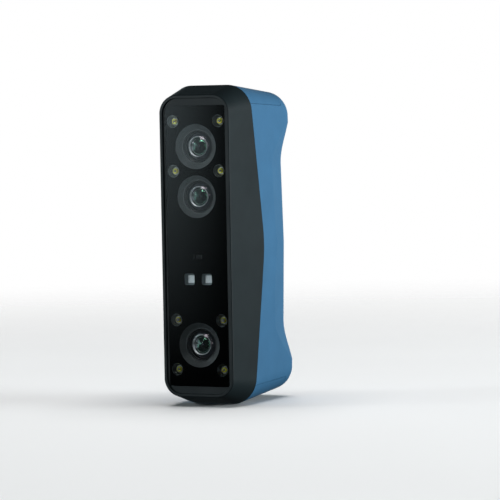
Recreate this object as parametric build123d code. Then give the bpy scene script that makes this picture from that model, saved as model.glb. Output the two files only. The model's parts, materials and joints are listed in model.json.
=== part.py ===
"""Handheld 3-D scanner: a tall two-part case with three cameras, eight lamps, two infrared
projectors and a rear key panel.

Millimetres. +Z runs up the case, +X to its right side and -Y towards what is being scanned. The origin
is the centre of the bounding box. Places along Y are given as a depth: the distance behind the rim of
the front housing.
"""

import os
from math import sqrt

from build123d import *

# ---- driving dimensions of the case ----
HEIGHT = 160.0  # end to end, measured at the parting line
DEPTH = 68.6  # rim to the back of the two bulges
RIM_HALF_W, RIM_HALF_H, RIM_R = 19.2, 75.1, 9.1
SIDE_FLARE, RADIUS_FLARE = 0.174, 0.2  # growth per mm of depth
PART_DEPTH_END, PART_DEPTH_APEX = 17.8, 28.74  # parting line at the ends, and its unrounded middle
PART_FILLET, PART_GAP = 68.0, 0.1
END_FLARE = (HEIGHT / 2 - RIM_HALF_H) / PART_DEPTH_END
PART_SLOPE = (PART_DEPTH_APEX - PART_DEPTH_END) / (HEIGHT / 2)
SIDE_X = RIM_HALF_W + SIDE_FLARE * PART_DEPTH_APEX  # half width at mid height
SIDE_SLOPE = PART_SLOPE * SIDE_FLARE

RIDGE_R = 1000.0  # rounds the slight ridge that the side walls have at mid height
REAR_END_DRAFT = 0.08
REAR_CORNER_R, BACK_FILLET = 12.6, 8.0
WAIST_DEPTH, WAIST_SIDE_DEPTH = 59.5, 38.0  # where the scooped back and its flanks lie at mid height
SCOOP_DEPTH, SCOOP_SIDE_DEPTH = DEPTH + 1.4, 61.0  # and where they fade away
SCOOP_START, SCOOP_END, SCOOP_STEPS = 40.0, 68.0, 7  # heights between which the scoop fades
SCOOP_R, FLANK_LEAN, SCOOP_OVERHANG = 7.5, 0.088, 0.3

CASE_WALL, REAR_WALL = 2.2, 2.0
CAP_WALL, CAP_GAP = 1.8, 0.15
CAP_SEAM_Z, CAP_SEAM_DRAFT = 70.6, 0.033
CAP_BACK_DEPTH, CAP_CORNER_R = 57.5, 2.5
PLUG_INSET = CAP_WALL + CAP_GAP
PLUG_Z = 68.5  # above this height the rear shell is only the plug that the cap fits over

# ---- front window ----
RIM_W, RIM_EDGE_R, RIM_BEVEL = 1.6, 0.5, 0.25
RECESS, GLASS_T, MASK_T, ADHESIVE_T, LEDGE_T = 0.9, 0.8, 0.2, 0.2, 1.6
GLASS_HALF_W, GLASS_HALF_H, GLASS_R, GLASS_GAP = 16.47, 69.9, 0.8, 0.1
MASK_FRONT = RECESS + GLASS_T
ADHESIVE_FRONT = MASK_FRONT + MASK_T
LEDGE_FRONT = ADHESIVE_FRONT + ADHESIVE_T
LEDGE_REAR = LEDGE_FRONT + LEDGE_T
APERTURE_HALF_W, APERTURE_HALF_H = 15.3, 63.2
PAD_R = 3.9  # clearance around each lamp

# ---- cameras, lamps and projectors ----
CAMERAS = {"upper": (49.5, 11.2), "middle": (24.6, 10.6), "lower": (-49.3, 11.2)}  # z, window radius
LAMP_X, LAMP_DZ, LAMP_WINDOW_R = 12.5, 12.35, 3.15
LAMPS = [(sx * LAMP_X, z + sz * LAMP_DZ) for z in (49.75, -49.25) for sx in (-1, 1) for sz in (-1, 1)]
PROJECTOR_X, PROJECTOR_Z, PROJECTOR_SIDE = 4.78, -16.5, 5.6
SENSOR_Z = -5.3
SENSOR_MARKS = ((-2.05, 0.8), (0.83, 3.3))  # x and width of its two windows
SENSOR_MARK_H = 2.1

HOOD_LIP, HOOD_WALL = 1.0, 0.9
HOOD_CONE_DEPTH, HOOD_REAR, THROAT_R = 3.8, 6.3, 8.1
BARREL_FRONT, BARREL_HEAD_R, BARREL_R, BARREL_REAR = 5.6, 7.9, 6.0, 16.5
BARREL_SHOULDER, BORE_FLOOR = 8.5, 6.8
BAFFLES = ((3.8, 9.9), (3.2, 11.2), (2.6, BARREL_REAR))  # bore radii and where each one ends
LENS_R, LENS_APEX, LENS_EDGE, LENS_SEAT = 7.5, 2.2, 6.0, 6.6  # the wide front element
INNER_LENS_R, INNER_LENS_APEX, INNER_LENS_SEAT = 4.4, 6.6, 9.0
LIP_R, LIP_FRONT = 4.7, 5.4  # the ring round the inner element
LAMP_BOARD = (4.6, 5.6)
LAMP_BOARD_Z = (31.6, 66.2)
BENCH = (9.0, 11.5)
BENCH_HALF_W, BENCH_HALF_H = 17.0, 70.4
HOLDER_R, HOLDER_FLANGE, HOLDER_BOX_DEPTH = 7.6, 1.5, 17.5
CAMERA_BOARD = (21.0, 22.2)
CAMERA_BOARD_SIDE, HOLDER_SIDE = 21.0, 15.0
PROJECTOR_BOARD = (8.0, 9.0)
PROJECTOR_FRONT, DIFFUSER, THROAT_SIDE, WELL_SIDE = 2.3, (4.0, 4.8), 3.8, 5.6

# ---- electronics behind the bench ----
MAIN_BOARD = (33.0, 34.2)
MAIN_BOARD_HALF_W, MAIN_BOARD_HALF_H = 18.0, 72.0
SHIELD_Z, SHIELD_HALF, SHIELD_H = 25.0, 12.5, 2.2
PAD_T, SINK_BASE, SINK_H = 1.0, 2.0, 8.6
BATTERY = (38.0, 54.0)
BATTERY_HALF_W, BATTERY_Z = 16.6, (-52.0, -13.0)

# ---- screws: (x, z) places ----
CASE_SCREWS = [(sx * 7.6, sz * 67.0) for sx in (-1, 1) for sz in (-1, 1)]
BENCH_SCREWS = [(sx * 14.8, z) for sx in (-1, 1) for z in (68.6, 4.0, -68.6)]
LAMP_SCREWS = [(sx * 13.8, z) for sx in (-1, 1) for z in (49.75, -49.25)]
HOLDER_SCREWS = [(sx * 10.6, z) for sx in (-1, 1) for z, _ in CAMERAS.values()]
BOARD_SCREWS = [(sx * 15.2, sz * 61.0) for sx in (-1, 1) for sz in (-1, 1)]
CASE_BOSS_R, CASE_BOSS_REAR, CASE_POST_R, CASE_POST_REAR = 2.4, 21.0, 2.6, 31.0
SMALL_BOSS_R = 2.2

# ---- keys, on the back of the waist ----
PANEL_Z, PANEL_HALF_L, PANEL_R = 16.5, 26.5, 7.6
PANEL_FACE, PANEL_FLANGE = 58.6, (56.3, WAIST_DEPTH - REAR_WALL)
KEYS = {"plus": (18.0, 3.7), "scan": (4.6, 6.0), "minus": (-8.8, 3.7), "power": (-19.0, 3.0)}
KEY_GAP, KEY_PROUD, KEY_TRAVEL, KEY_FLANGE = 0.12, 0.9, 0.5, 1.0
KEY_BOARD = (50.0, 51.2)
SWITCH_H, SWITCH_SIDE, PLUNGER_R, PLUNGER_H = 2.0, 6.0, 1.7, 0.7
KEY_POSTS = [(sx * 6.6, PANEL_Z + dz) for sx in (-1, 1) for dz in (11.6, -14.2)]
LIGHT_DZ, LIGHT_R = 24.2, 0.8

# ---- bottom end ----
USB_DEPTH, USB_W, USB_T, USB_LENGTH, USB_WALL = 35.95, 8.94, 3.26, 9.6, 0.35
TRIPOD_DEPTH, TRIPOD_R, TRIPOD_LENGTH, TRIPOD_OUTER_R = 26.5, 2.6, 7.0, 4.6

FRONT_Y = -DEPTH / 2
CUT = 100.0  # longer than any part


# ---- drawing helpers ----
def facing(depth):
    """The XZ plane at a depth, facing forwards."""
    return Plane(origin=(0, FRONT_Y + depth, 0), x_dir=(1, 0, 0), z_dir=(0, -1, 0))


def slab(sketch, front, rear):
    """An XZ sketch as a solid between two depths."""
    return extrude(facing(rear) * sketch, amount=rear - front)


def rod(x, z, radius, front, rear):
    return slab(Pos(x, z) * Circle(radius), front, rear)


def block(x0, x1, front, rear, z0, z1):
    size = (x1 - x0, rear - front, z1 - z0)
    return Pos((x0 + x1) / 2, FRONT_Y + (front + rear) / 2, (z0 + z1) / 2) * Box(*size)


def rounded_block(half_w, front, rear, z0, z1, radius):
    return slab(Pos(0, (z0 + z1) / 2) * RectangleRounded(2 * half_w, z1 - z0, radius), front, rear)


def side_prism(wire, half_width=CUT / 2):
    """A closed wire of (depth, z) points, stretched across the given width."""
    plane = Plane(origin=(half_width, FRONT_Y, 0), x_dir=(0, 1, 0), z_dir=(1, 0, 0))
    return extrude(plane * make_face(wire), amount=-2 * half_width)


def turned(x, z, *profile):
    """A closed profile of (radius, depth) points turned about the line through (x, z) along Y."""
    plane = Plane(origin=(x, FRONT_Y, z), x_dir=(1, 0, 0), z_dir=(0, 0, 1))
    return revolve(plane * make_face(Polyline(*profile, close=True)), Axis((x, 0, z), (0, 1, 0)))


def end_slot(length, thickness, depth, z0, z1):
    """A stadium with its long axis along X, run along Z at a depth."""
    plane = Plane(origin=(0, FRONT_Y + depth, z0), x_dir=(1, 0, 0), z_dir=(0, 0, 1))
    return extrude(plane * SlotOverall(length, thickness), amount=z1 - z0)


def end_rod(radius, depth, z0, z1):
    plane = Plane(origin=(0, FRONT_Y + depth, z0), x_dir=(1, 0, 0), z_dir=(0, 0, 1))
    return extrude(plane * Circle(radius), amount=z1 - z0)


def screw(x, z, shank_r, length, head_r, seat, towards=1):
    """A pan-head screw with a hex socket. It points rearwards when towards is 1, forwards when -1."""
    head_h = head_r * 0.75
    body = rod(x, z, head_r, min(seat, seat - towards * head_h), max(seat, seat - towards * head_h))
    body += rod(x, z, shank_r, min(seat, seat + towards * length), max(seat, seat + towards * length))
    socket = Pos(x, z) * RegularPolygon(head_r * 0.5, 6)
    top = seat - towards * head_h
    bottom = seat - towards * head_h * 0.45
    return body - slab(socket, min(top, bottom), max(top, bottom))


def save(name, *solids):
    shape = solids[0] if len(solids) == 1 else Compound(children=[s for s in solids])
    export_step(shape, f"parts/{name}.step")


# ---- case forms ----
def front_outline(depth, inset=0.0):
    half_w = RIM_HALF_W + SIDE_FLARE * depth - inset
    half_h = RIM_HALF_H + END_FLARE * depth - inset
    radius = max(RIM_R + RADIUS_FLARE * depth - inset, 1.0)
    return RectangleRounded(2 * half_w, 2 * half_h, radius)


def front_form(front, rear, inset=0.0):
    """The flared form of the front housing between two depths."""
    return loft([facing(d) * front_outline(d, inset) for d in (front, rear)], ruled=True)


def ahead_of_parting():
    """Everything in front of the V-shaped parting surface."""
    far = PART_DEPTH_APEX - PART_SLOPE * CUT
    bend = FilletPolyline((far, -CUT), (PART_DEPTH_APEX, 0), (far, CUT), radius=PART_FILLET)
    back = Polyline((far, CUT), (-20, CUT), (-20, -CUT), (far, -CUT))
    return side_prism(Wire([*bend.edges(), *back.edges()]))


def rear_block(inset=0.0):
    """The rear case before its back is scooped, reaching forwards of the parting line."""
    reach = HEIGHT / 2 + 10
    side, corner = SIDE_X - inset, SIDE_X - SIDE_SLOPE * reach - inset
    points = [(side, 0), (corner, reach), (-corner, reach), (-side, 0), (-corner, -reach), (corner, -reach)]
    face = make_face(Polyline(*points, close=True))
    face = fillet([v for v in face.vertices() if abs(v.Y) < 1], RIDGE_R)
    front, rear = PART_DEPTH_END - 10, DEPTH - inset
    end_front, end_rear = (HEIGHT / 2 - REAR_END_DRAFT * (d - PART_DEPTH_END) - inset for d in (front, rear))
    lean = Polyline((front, -end_front), (front, end_front), (rear, end_rear), (rear, -end_rear), close=True)
    form = slab(face, front, rear) & side_prism(lean)
    corners = [e for e in form.edges() if abs(e.tangent_at(0.5).Y) > 0.9 and abs(e.center().Z) > HEIGHT / 4]
    form = fillet(corners, max(REAR_CORNER_R - inset, 1.0))
    return fillet(form.faces().sort_by(Axis.Y)[-1].edges(), max(BACK_FILLET - inset, 1.0))


def scoop_section(z, inset):
    """What the scoop takes away at one height: everything behind a round-shouldered arch."""
    t = min(max((abs(z) - SCOOP_START) / (SCOOP_END - SCOOP_START), 0.0), 1.0)
    fade = t * t * (3 - 2 * t)
    side = SIDE_X - SIDE_SLOPE * abs(z) + SCOOP_OVERHANG - inset
    middle = WAIST_DEPTH + (SCOOP_DEPTH - WAIST_DEPTH) * fade - inset
    edge = WAIST_SIDE_DEPTH + (SCOOP_SIDE_DEPTH - WAIST_SIDE_DEPTH) * fade - inset
    shoulder = side - (middle - edge) * FLANK_LEAN
    arch = [(side, edge), (shoulder, middle), (-shoulder, middle), (-side, edge)]
    curve = FilletPolyline(*arch, radius=SCOOP_R - inset)
    far, beyond = side + 8, DEPTH + 8
    rest = Polyline(arch[-1], (-far, edge), (-far, beyond), (far, beyond), (far, edge), arch[0])
    plane = Plane(origin=(0, FRONT_Y, z), x_dir=(1, 0, 0), z_dir=(0, 0, 1))
    return plane * make_face(Wire([*curve.edges(), *rest.edges()]))


def rear_form(inset=0.0):
    """The rear case with the grip scooped out of its back between the two bulges."""
    form = rear_block(inset)
    middle = [-SCOOP_START, 0, SCOOP_START]
    form -= loft([scoop_section(z, inset) for z in middle], ruled=True)
    step = (SCOOP_END - SCOOP_START) / SCOOP_STEPS
    for side in (-1, 1):
        heights = [side * (SCOOP_START + step * i) for i in range(SCOOP_STEPS + 1)]
        form -= loft([scoop_section(z, inset) for z in heights])
    return form


def cap_region(side, gap=0.0):
    """The end of the case that a cap takes up: side is 1 for the top and -1 for the bottom."""
    front = 5.0
    seam = [CAP_SEAM_Z - gap - CAP_SEAM_DRAFT * (d - PART_DEPTH_END) for d in (front, CAP_BACK_DEPTH)]
    back = CAP_BACK_DEPTH + gap
    points = [(front, side * seam[0]), (back, side * seam[1]), (back, side * CUT)]
    turn = FilletPolyline(*points, radius=CAP_CORNER_R)
    rest = Polyline(points[-1], (front, side * CUT), points[0])
    return side_prism(Wire([*turn.edges(), *rest.edges()]))


def ends_of_case(z):
    """Everything above and below the heights z and -z."""
    return [block(-CUT, CUT, -CUT, CUT, *zs) for zs in ((z, 2 * CUT), (-2 * CUT, -z))]


# ---- outer pieces ----
def front_housing():
    rear = PART_DEPTH_APEX + 5
    housing = front_form(0, rear)
    housing = fillet(housing.faces().sort_by(Axis.Y)[0].edges(), RIM_EDGE_R) & ahead_of_parting()
    housing -= front_form(LEDGE_REAR, rear, CASE_WALL)
    housing -= slab(front_outline(0, RIM_W), -1, RECESS)
    bevel = [facing(d) * front_outline(0, RIM_W - RIM_BEVEL + d) for d in (0, RIM_BEVEL)]
    housing -= loft(bevel, ruled=True)
    pocket_w, pocket_h = GLASS_HALF_W + GLASS_GAP, GLASS_HALF_H + GLASS_GAP
    housing -= slab(RectangleRounded(2 * pocket_w, 2 * pocket_h, GLASS_R), RECESS, LEDGE_FRONT)
    aperture = Rectangle(2 * APERTURE_HALF_W, 2 * APERTURE_HALF_H)
    for x, z in LAMPS:
        aperture += Pos(x, z) * Circle(PAD_R)
    housing -= slab(aperture, LEDGE_FRONT, LEDGE_REAR)
    for x, z in BENCH_SCREWS:
        housing += rod(x, z, SMALL_BOSS_R, LEDGE_REAR - 0.5, BENCH[0])
        housing -= rod(x, z, 0.95, LEDGE_REAR + 0.5, BENCH[0])
    for x, z in CASE_SCREWS:
        housing += rod(x, z, CASE_BOSS_R, LEDGE_REAR - 0.5, CASE_BOSS_REAR)
        housing -= rod(x, z, 1.35, LEDGE_FRONT, CASE_BOSS_REAR)
        housing -= rod(x, z, 2.1, LEDGE_FRONT, LEDGE_REAR + 0.9)
    return housing


def glass_outline():
    return RectangleRounded(2 * GLASS_HALF_W, 2 * GLASS_HALF_H, GLASS_R)


def glass_mask():
    """The opaque print on the back of the glass, open over each camera, lamp, projector and sensor."""
    outline = glass_outline()
    for z, radius in CAMERAS.values():
        outline -= Pos(0, z) * Circle(radius)
    for x, z in LAMPS:
        outline -= Pos(x, z) * Circle(LAMP_WINDOW_R)
    for side in (-1, 1):
        window = RectangleRounded(PROJECTOR_SIDE, PROJECTOR_SIDE, 0.9)
        outline -= Pos(side * PROJECTOR_X, PROJECTOR_Z) * window
    for x, width in SENSOR_MARKS:
        outline -= Pos(x, SENSOR_Z) * Rectangle(width, SENSOR_MARK_H)
    return slab(outline, MASK_FRONT, ADHESIVE_FRONT)


def window_adhesive():
    ring = glass_outline() - Rectangle(2 * APERTURE_HALF_W, 2 * APERTURE_HALF_H)
    for x, z in LAMPS:
        ring -= Pos(x, z) * Circle(PAD_R)
    for x, z in CASE_SCREWS:
        ring -= Pos(x, z) * Circle(2.4)
    return slab(ring, ADHESIVE_FRONT, LEDGE_FRONT)


def panel_outline(grow=0.0):
    radius = PANEL_R + grow
    return Pos(0, PANEL_Z) * Rot(0, 0, 90) * SlotOverall(2 * (PANEL_HALF_L + grow), 2 * radius)


def case_post(x, z):
    """A screw post on the rear shell, with a web that ties it to the end wall."""
    near, far = sorted((z * 0.98, 76.5 if z > 0 else -76.5))
    post = rod(x, z, CASE_POST_R, CASE_BOSS_REAR, CASE_POST_REAR)
    post += block(x - 1.2, x + 1.2, CASE_BOSS_REAR + 0.5, CASE_POST_REAR - 0.5, near, far)
    return post - rod(x, z, 1.05, CASE_BOSS_REAR - 1, CASE_POST_REAR - 1)


def rear_shell():
    shell = rear_form() - cap_region(1, CAP_GAP) - cap_region(-1, CAP_GAP)
    plug, hollow_plug = rear_block(PLUG_INSET), rear_block(PLUG_INSET + CAP_WALL)
    for end in ends_of_case(PLUG_Z):
        shell += plug & end
    shell -= rear_form(REAR_WALL) & block(-CUT, CUT, 0, CUT, -PLUG_Z, PLUG_Z)
    for end in ends_of_case(PLUG_Z - 1):
        shell -= hollow_plug & end
    shell -= Pos(0, PART_GAP, 0) * ahead_of_parting()
    for x, z in CASE_SCREWS:
        shell += case_post(x, z)
    shell -= slab(panel_outline(), WAIST_DEPTH - 5, WAIST_DEPTH + 5)
    shell += end_rod(TRIPOD_OUTER_R + 1.4, TRIPOD_DEPTH, -76.5, -71.5)
    shell -= end_rod(TRIPOD_OUTER_R, TRIPOD_DEPTH, -CUT, -71.5)
    shell -= end_slot(USB_W + 0.3, USB_T + 0.3, USB_DEPTH, -CUT, -74)
    return shell


def end_cap(side):
    cap = (rear_block() - rear_block(CAP_WALL)) & cap_region(side)
    cap -= Pos(0, PART_GAP, 0) * ahead_of_parting()
    if side < 0:
        cap -= end_rod(TRIPOD_OUTER_R + 0.15, TRIPOD_DEPTH, -CUT, -74)
        cap -= end_slot(USB_W + 0.5, USB_T + 0.5, USB_DEPTH, -CUT, -74)
    return cap


# ---- cameras ----
def lens_hood(z, window_r):
    """A funnel that narrows from the window to the lens, with a small step at its throat."""
    mouth, back = window_r + HOOD_LIP, THROAT_R + HOOD_WALL
    profile = [(window_r, LEDGE_FRONT), (mouth, LEDGE_FRONT), (mouth, LEDGE_FRONT + 1.0)]
    profile += [(back, HOOD_CONE_DEPTH + 0.7), (back, HOOD_REAR), (THROAT_R, HOOD_REAR)]
    profile += [(THROAT_R, HOOD_CONE_DEPTH), (THROAT_R + 0.5, HOOD_CONE_DEPTH)]
    return turned(0, z, *profile)


def lens_barrel(z):
    """A lens barrel with seats for its front and inner elements and a bore that narrows in steps."""
    profile = [(LENS_R, BARREL_FRONT), (BARREL_HEAD_R - 0.2, BARREL_FRONT)]
    profile += [(BARREL_HEAD_R, BARREL_FRONT + 0.2), (BARREL_HEAD_R, BARREL_SHOULDER)]
    profile += [(BARREL_R, BARREL_SHOULDER), (BARREL_R, BARREL_REAR)]
    for (radius, rear), front in zip(BAFFLES[::-1], (BAFFLES[1][1], BAFFLES[0][1], INNER_LENS_SEAT)):
        profile += [(radius, rear), (radius, front)]
    profile += [(INNER_LENS_R, INNER_LENS_SEAT), (INNER_LENS_R, BORE_FLOOR), (LIP_R, BORE_FLOOR - 0.3)]
    profile += [(LIP_R, LIP_FRONT), (LIP_R + 0.5, LIP_FRONT), (LIP_R + 0.7, LIP_FRONT + 0.3)]
    profile += [(LIP_R + 0.7, BORE_FLOOR), (LENS_R - 0.7, BORE_FLOOR), (LENS_R - 0.7, LENS_SEAT)]
    profile += [(LENS_R, LENS_SEAT)]
    return turned(0, z, *profile)


def dome_arc(radius, apex, edge):
    """The arc of a lens surface, from its apex on the axis out to its edge, as (radius, depth) points."""
    rise = edge - apex
    bend_r = (radius**2 + rise**2) / (2 * rise)
    middle = apex + bend_r - sqrt(bend_r**2 - radius**2 / 4)
    return ThreePointArc((0, apex), (radius / 2, middle), (radius, edge))


def lens_glass(z):
    """The hollowed wide front element and the small convex one behind it."""
    front = dome_arc(LENS_R, LENS_APEX, LENS_EDGE)
    hollow = dome_arc(6.6, LENS_APEX + 0.9, LENS_SEAT)
    plane = Plane(origin=(0, FRONT_Y, z), x_dir=(1, 0, 0), z_dir=(0, 0, 1))
    rim = Polyline(front @ 1, (LENS_R, LENS_SEAT), hollow @ 1)
    centre = Line(hollow @ 0, front @ 0)
    face = plane * make_face(Wire([*front.edges(), *rim.edges(), *hollow.edges(), *centre.edges()]))
    meniscus = revolve(face, Axis((0, 0, z), (0, 1, 0)))
    inner = dome_arc(INNER_LENS_R, INNER_LENS_APEX, INNER_LENS_SEAT - 0.6)
    seat = Polyline(inner @ 1, (INNER_LENS_R, INNER_LENS_SEAT), (0, INNER_LENS_SEAT), inner @ 0)
    face = plane * make_face(Wire([*inner.edges(), *seat.edges()]))
    return [meniscus, revolve(face, Axis((0, 0, z), (0, 1, 0)))]


def camera_holder(z):
    holder = rod(0, z, HOLDER_R, BENCH[0] - 0.3, HOLDER_BOX_DEPTH)
    holder += slab(Pos(0, z) * RectangleRounded(26, 11, 2), BENCH[1], BENCH[1] + HOLDER_FLANGE)
    holder += slab(Pos(0, z) * RectangleRounded(HOLDER_SIDE, HOLDER_SIDE, 1), HOLDER_BOX_DEPTH, CAMERA_BOARD[0])
    inner = HOLDER_SIDE - 3
    holder -= slab(Pos(0, z) * Rectangle(inner, inner), HOLDER_BOX_DEPTH + 0.5, CAMERA_BOARD[0])
    holder -= rod(0, z, BARREL_R, 0, HOLDER_BOX_DEPTH + 1)
    for x, screw_z in HOLDER_SCREWS:
        if screw_z == z:
            holder -= rod(x, z, 0.9, BENCH[1], BENCH[1] + HOLDER_FLANGE)
    return holder


def camera_board(z):
    board = slab(Pos(0, z) * RectangleRounded(CAMERA_BOARD_SIDE, CAMERA_BOARD_SIDE, 1.2), *CAMERA_BOARD)
    return board + block(-5.5, 5.5, CAMERA_BOARD[1], CAMERA_BOARD[1] + 1.2, z - 9, z - 5)


def image_sensor(z):
    return block(-4.6, 4.6, CAMERA_BOARD[0] - 1.1, CAMERA_BOARD[0], z - 4.0, z + 4.0)


def camera_flex(z):
    """A ribbon from the camera board's connector back to the main board."""
    start, bend, end = CAMERA_BOARD[1] + 1.3, 3.0, MAIN_BOARD[0] - 1.3
    path = FilletPolyline((start, z - 8), (start, z - 1), (end, z - 1), (end, z - 8), radius=bend)
    plane = Plane(origin=(-4, FRONT_Y, 0), x_dir=(0, 1, 0), z_dir=(1, 0, 0))
    return extrude(plane * trace(path, 0.2), amount=8)


# ---- lamps, projectors and sensor ----
def lamp_board(side):
    z0, z1 = LAMP_BOARD_Z if side > 0 else (-LAMP_BOARD_Z[1], -LAMP_BOARD_Z[0])
    camera_z = CAMERAS["upper" if side > 0 else "lower"][0]
    board = rounded_block(16.4, *LAMP_BOARD, z0, z1, 1.5)
    board -= rod(0, camera_z, THROAT_R + HOOD_WALL + 0.3, *LAMP_BOARD)
    board -= rod(0, CAMERAS["middle"][0], BARREL_HEAD_R + 2.2, *LAMP_BOARD)
    for x, z in CASE_SCREWS:
        board -= rod(x, z, CASE_BOSS_R + 0.3, *LAMP_BOARD)
    for x, z in LAMP_SCREWS:
        board -= rod(x, z, 0.9, *LAMP_BOARD)
    return board


def lamp_reflector(x, z):
    front, rear = LEDGE_FRONT - 0.1, LAMP_BOARD[0]
    profile = [(LAMP_WINDOW_R - 0.1, front), (LAMP_WINDOW_R + 0.35, front), (LAMP_WINDOW_R + 0.35, rear)]
    profile += [(2.3, rear), (1.9, rear - 0.4), (2.1, rear - 1.0), (2.6, rear - 1.7)]
    return turned(x, z, *profile)


def lamp_led(x, z):
    """A square emitter package with a round phosphor pad."""
    rear = LAMP_BOARD[0]
    package = slab(Pos(x, z) * RectangleRounded(2.8, 2.8, 0.6), rear - 0.45, rear)
    return package + turned(x, z, (0, rear - 0.8), (1.3, rear - 0.7), (1.4, rear - 0.45), (0, rear - 0.45))


def projector(side):
    """One infrared projector: a square funnel that narrows to its diffuser, and a well for the emitter."""
    place = Pos(side * PROJECTOR_X, PROJECTOR_Z)
    mouth = facing(PROJECTOR_FRONT) * place * RectangleRounded(PROJECTOR_SIDE, PROJECTOR_SIDE, 0.9)
    throat = facing(DIFFUSER[0]) * place * RectangleRounded(THROAT_SIDE, THROAT_SIDE, 0.4)
    body = slab(place * RectangleRounded(9.0, 9.0, 0.8), PROJECTOR_FRONT, PROJECTOR_BOARD[0])
    body -= loft([mouth, throat])
    return body - slab(place * Rectangle(WELL_SIDE, WELL_SIDE), DIFFUSER[0], PROJECTOR_BOARD[0])


def projector_diffuser(side):
    outline = Pos(side * PROJECTOR_X, PROJECTOR_Z) * RectangleRounded(WELL_SIDE, WELL_SIDE, 0.3)
    return slab(outline, *DIFFUSER)


def projector_board():
    return rounded_block(14.0, *PROJECTOR_BOARD, -23.0, 0.5, 1.5)


def proximity_sensor():
    return block(-3.4, 3.4, PROJECTOR_BOARD[0] - 1.2, PROJECTOR_BOARD[0], SENSOR_Z - 1.8, SENSOR_Z + 1.8)


def sensor_boot():
    """A rubber boot that keeps the sensor's two light paths apart."""
    boot = block(-3.6, 3.6, LEDGE_FRONT, PROJECTOR_BOARD[0] - 1.2, SENSOR_Z - 2.0, SENSOR_Z + 2.0)
    for x, width in SENSOR_MARKS:
        half = width / 2
        boot -= block(x - half, x + half, 0, PROJECTOR_BOARD[0], SENSOR_Z - 1.2, SENSOR_Z + 1.2)
    return boot


# ---- frame and boards ----
def optical_bench():
    bench = rounded_block(BENCH_HALF_W, *BENCH, -BENCH_HALF_H, BENCH_HALF_H, 4.0)
    for z, _ in CAMERAS.values():
        bench -= rod(0, z, HOLDER_R + 0.05, *BENCH)
    for x, z in CASE_SCREWS:
        bench -= rod(x, z, CASE_BOSS_R + 0.4, *BENCH)
    for x, z in BENCH_SCREWS:
        bench -= rod(x, z, 1.1, *BENCH)
    for z in (-1.0, -32.0):
        bench -= slab(Pos(0, z) * SlotOverall(16, 5), *BENCH)
    for x, z in LAMP_SCREWS:
        bench += rod(x, z, 1.7, LAMP_BOARD[1], BENCH[0])
        bench -= rod(x, z, 0.8, LAMP_BOARD[1], BENCH[0])
    return bench


def main_board():
    board = rounded_block(MAIN_BOARD_HALF_W, *MAIN_BOARD, -MAIN_BOARD_HALF_H, MAIN_BOARD_HALF_H, 3.0)
    for x, z in BOARD_SCREWS:
        board -= rod(x, z, 1.1, *MAIN_BOARD)
    return board


def board_connectors():
    """Ribbon sockets for the cameras, and the sockets for the battery and key board."""
    front = MAIN_BOARD[0]
    sockets = [block(-5.5, 5.5, front - 1.2, front, z - 9, z - 5) for z, _ in CAMERAS.values()]
    rear = MAIN_BOARD[1]
    sockets.append(block(8.0, 14.0, rear, rear + 2.8, -10.5, -5.5))
    sockets.append(block(-14.0, -8.0, rear, rear + 2.8, 2.0, 7.0))
    return sockets


def heatsink():
    front = MAIN_BOARD[1] + SHIELD_H + PAD_T
    z0, z1 = SHIELD_Z - 15, SHIELD_Z + 15
    sink = block(-14.5, 14.5, front, front + SINK_BASE, z0, z1)
    for i in range(8):
        x = -14.5 + i * 4.0
        sink += block(x, x + 1.0, front + SINK_BASE, front + SINK_H, z0, z1)
    return sink


def board_standoff(x, z):
    post = Pos(x, z) * RegularPolygon(2.3, 6)
    return slab(post, BENCH[1], MAIN_BOARD[0]) - rod(x, z, 0.8, MAIN_BOARD[0] - 8, MAIN_BOARD[0])


def battery_pack():
    pack = block(-BATTERY_HALF_W, BATTERY_HALF_W, *BATTERY, *BATTERY_Z)
    return fillet(pack.edges().filter_by(Axis.X) + pack.edges().filter_by(Axis.Z), 2.2)


def battery_bracket():
    wall, half = 0.8, BATTERY_HALF_W + 0.2
    front, rear = BATTERY[0] - wall, BATTERY[0] + 11
    z0, z1 = BATTERY_Z[0] + 3, BATTERY_Z[1] - 3
    bracket = block(-half - wall, half + wall, front, BATTERY[0], z0, z1)
    for side in (-1, 1):
        x0, x1 = sorted((side * half, side * (half + wall)))
        bracket += block(x0, x1, front, rear, z0, z1)
    for x in (-12, 12):
        for z in (z0 + 4, z1 - 4):
            bracket += rod(x, z, 1.8, MAIN_BOARD[1], BATTERY[0] - wall / 2)
    return bracket


def battery_lead():
    """Two insulated wires side by side, from the pack's end to its socket."""
    wires = []
    for x in (10.2, 11.8):
        start = (x, FRONT_Y + 45.0, BATTERY_Z[1])
        turn = (x, FRONT_Y + 45.0, -8.0)
        end = (x, FRONT_Y + MAIN_BOARD[1] + 2.8, -8.0)
        path = FilletPolyline(start, turn, end, radius=2.6)
        plane = Plane(origin=start, z_dir=(0, 0, 1))
        wires.append(sweep(plane * Circle(0.6), path=path))
    return wires


def antenna(side):
    x0, x1 = sorted((side * 19.7, side * 20.1))
    return block(x0, x1, 38, 46, 48, 66)


# ---- keys ----
def key_panel():
    panel = slab(panel_outline(-0.1), PANEL_FLANGE[1], PANEL_FACE)
    panel += slab(panel_outline(1.4), *PANEL_FLANGE)
    for dz, radius in KEYS.values():
        panel -= rod(0, PANEL_Z + dz, radius, *(PANEL_FLANGE[0], PANEL_FACE))
    panel -= rod(0, PANEL_Z + LIGHT_DZ, LIGHT_R + 0.05, *(PANEL_FLANGE[0], PANEL_FACE))
    for x, z in KEY_POSTS:
        panel += rod(x, z, 1.3, KEY_BOARD[1], PANEL_FLANGE[0])
        panel -= rod(x, z, 0.6, KEY_BOARD[1], PANEL_FLANGE[0] - 1)
    return panel


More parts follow.
